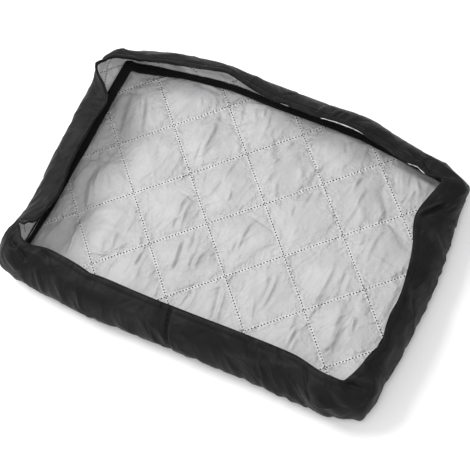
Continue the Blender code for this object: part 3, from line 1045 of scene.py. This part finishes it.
bm = rolled_band(*section_points(LINING_SECTION), band_lining_place)
band_silver = silver_lining("silver_lining_band", True, BAND_LIT_SHADES)
band_lining = add_piece("band_lining", bm, band_silver)
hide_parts("wall_lining")


# ---- Band stitching ----------------------------
# The same dark thread along the band's quilting, as it shows on the lining inside. The
# rows stop short of the tape and of the hem.

BAND_SEAMS = range(-1, 18)
BAND_STITCHED = (0.07, 0.9)
BAND_STITCH = {"width": 1.6, "height": 1.0}
BAND_STITCH_LIFT = 0.2

spots = stitch_spots(BAND_SEAMS, BAND_CROSSING, BAND_DIAGONAL)
spots[1] /= BAND_DEPTH
seen = (spots[0] > 0.0) & (spots[0] < BAND_LENGTH)
seen &= (spots[1] > BAND_STITCHED[0]) & (spots[1] < BAND_STITCHED[1])
reach, share, climb = spots[:, seen]
half = 0.5 * STITCH_LENGTH / math.sqrt(2.0)
shown_face = np.full(len(reach), SHOWN_FACE)
start, middle, end = (
    band_lining_place(reach + turn, share + turn * climb / BAND_DEPTH, shown_face)[0]
    for turn in (-half, 0.0, half)
)
inwards = -band_normal(reach, share)
bm = sewn_stitches(middle + BAND_STITCH_LIFT * inwards, end - start, inwards, **BAND_STITCH)
band_thread = add_piece("band_thread", bm, DARK_THREAD)


# ---- Seam tape ---------------------------------
# Matt black ribbed binding tape, folded over the raw seam between front and band and
# sewn through near its two edges. It leans in over the lining all the way round.

TAPE_WIDTH = 14.0
TAPE_THICK = 2.4
TAPE_CLOTH = 0.6
TAPE_POINTS = 13
TAPE_EASE = 4.0
TAPE_STITCH = 0.16
TAPE_RISE = 0.28
TAPE_WAVE = 2.0
TAPE_BLACKS = ((0.0045, 0.0045, 0.005), (0.0075, 0.0075, 0.008))

# How far round the base the tape turns at the end of each side.
TAPE_CORNERS = (508.0, 845.0, 1375.0, 1726.0)

# How far in from the front's edge the tape is sewn, how far it tilts up, in degrees, and
# how high its sewn edge is where that isn't usual, at the places of the band's sections.
TAPE_ROOT = 4.8
TAPE_LIES = (
    # near
    (5, 25), (6, 25), (6, 25), (6, 25), (6, 25), (6, 25), (6, 25), (5, 40),
    # right
    (4, 50), (4, 55), (4, 55), (4, 50), (4, 50), (3, 60), (2, 74),
    # far
    (1.5, 80), (4, 60), (6, 34), (6.5, 28), (6, 28), (6, 30), (5, 33), (3, 6, 10),
    # left
    (0.5, -18, 14), (0.5, -18, 14), (1, -16, 13), (2, -12, 11), (3, -4, 9), (8, 30),
    (9, 44), (3, 22),
)


def tape_point(share, lift, inset, tilt, root=TAPE_ROOT):
    """How far in from the front's edge, and how high, a point of the tape's section is."""
    cosine, sine = math.cos(math.radians(tilt)), math.sin(math.radians(tilt))
    reach = share * TAPE_WIDTH
    return inset + reach * cosine - lift * sine, root + reach * sine + lift * cosine


def tape_curve(share, lift, along):
    """A line along the tape: share 0 is its sewn edge, 1 its fold; lift is upwards."""
    insets, heights = zip(*(tape_point(share, lift, *lie) for lie in TAPE_LIES))
    points = [
        (*ring_sections("base", inset)[place, :2], heights[place])
        for place, inset in enumerate(insets)
    ]
    after = 0
    for _, last, way, outwards, rows in sides_round():
        before = after + len(rows) - 1
        after = (before + 1) % len(TAPE_LIES)
        corner = last[:2] - outwards * insets[before] - way * insets[after]
        points.append((*corner, 0.5 * (heights[before] + heights[after])))
    reaches = np.concatenate([BASE_REACH[:-1], TAPE_CORNERS])
    order = np.argsort(reaches)
    points, reaches = np.array(points)[order], reaches[order]
    offsets = np.linspace(-TAPE_EASE, TAPE_EASE, 7)
    eased = [
        sum(np.interp(along + offset, reaches, line, period=BAND_LENGTH) for offset in offsets)
        for line in points.T
    ]
    return np.stack(eased, axis=1) / len(offsets)


def tape_loop():
    """Shares and lifts of the points round the folded tape's section, which is flattened
    where the tape is sewn."""
    turns = np.linspace(-1.0, 1.0, TAPE_POINTS)
    outer_share = 1.0 - np.abs(turns) ** 1.7
    outer_lift = -0.5 * TAPE_THICK * np.sign(turns) * (1.0 - (1.0 - np.abs(turns)) ** 6)
    inner_lift = outer_lift * (1.0 - 2.0 * TAPE_CLOTH / TAPE_THICK)
    shares = np.concatenate([outer_share, 0.94 * outer_share[::-1]])
    lifts = np.concatenate([outer_lift, inner_lift[::-1]])
    return shares, lifts * (1.0 - 0.3 * bell(shares - TAPE_STITCH, 0.05))


halfway = np.full(len(STATIONS), 0.5)
tape_waves = band_waves(STATIONS, halfway, 60, 1.0, 81)
tape_waves += 0.4 * band_waves(STATIONS, halfway, 160, 1.0, 82)
tape_lines = []
for share, lift in zip(*tape_loop()):
    line = tape_curve(share, lift, STATIONS)
    line[:, 2] += TAPE_WAVE * tape_waves * share
    tape_lines.append(line)
tape_lines = np.array(tape_lines)


def tape_place(along, _, point):
    """Points of the tape, given their places round its section; it has no painted highlight or
    dust.
    """
    station = np.searchsorted(STATIONS, along)
    return tape_lines[point, station], np.zeros(len(along))


counts = np.arange(len(tape_lines))
bm = rolled_band(counts * TAPE_RISE / len(counts), counts, tape_place)
ribbed_tape = cloth_material(
    "ribbed_tape", True, patches=(60.0, 4.0), colors=TAPE_BLACKS, grain=(60.0, 4.0),
    roughness=(0.68, 0.82), bumps=[(add_ribs, (314.0,), 0.5, 0.0002)], Specular_IOR_Level=0.12,
)
binding_tape = add_piece("binding_tape", bm, ribbed_tape)
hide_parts("seam_tape")


# ---- Studio ------------------------------------
# A pale floor under an even white surround, with two soft lights: a large one at the left
# brings out the quilting, and a fainter one is above the camera, which looks down at the
# cover from beyond its near right corner.

CAMERA_PLACE = (0.51974589, -0.55060205, 1.49864171)
CAMERA_ELEVATION = 1.108615
CAMERA_AZIMUTH = -0.766090
CAMERA_ROLL = 0.314159
LENS = 94.0
PAPER = (0.96, 0.96, 0.96, 1.0)
FLOOR_SIZE = 6.0
FLOOR_DROP = 0.0005
SURROUND_STRENGTH = 0.62

camera_data = bpy.data.cameras.new("camera")
camera_data.lens = LENS
camera = new_object("camera", camera_data)
bpy.context.scene.camera = camera
bpy.context.scene.view_settings.view_transform = "Standard"
camera.matrix_world = (
    Matrix.Translation(CAMERA_PLACE)
    @ Matrix.Rotation(-CAMERA_AZIMUTH, 4, "Z")
    @ Matrix.Rotation(math.pi / 2 - CAMERA_ELEVATION, 4, "X")
    @ Matrix.Rotation(-CAMERA_ROLL, 4, "Z")
)

floor_mesh = bmesh.new()
under = Matrix.Translation((0.0, 0.0, -FLOOR_DROP))
bmesh.ops.create_grid(floor_mesh, x_segments=1, y_segments=1, size=FLOOR_SIZE, matrix=under)
floor = new_object("floor", as_mesh("floor", floor_mesh))
floor.data.materials.append(bare_material("studio_paper", Base_Color=PAPER, Roughness=0.9))


def add_light(name, place, size, power):
    """Square soft light that faces the middle of the cover."""
    data = bpy.data.lights.new(name, "AREA")
    data.size = size
    data.energy = power
    light = new_object(name, data)
    turn = (-Vector(place)).to_track_quat("-Z", "Y").to_matrix().to_4x4()
    light.matrix_world = Matrix.Translation(place) @ turn


add_light("left_light", (-1.35, 0.0, 1.85), size=1.0, power=41.0)
add_light("front_light", (0.5, -0.7, 2.1), size=0.8, power=18.0)

world = bpy.data.worlds.new("surround")
bpy.context.scene.world = world
world.use_nodes = True
surround = world.node_tree.nodes["Background"].inputs
surround["Color"].default_value = (1.0, 1.0, 1.0, 1.0)
surround["Strength"].default_value = SURROUND_STRENGTH
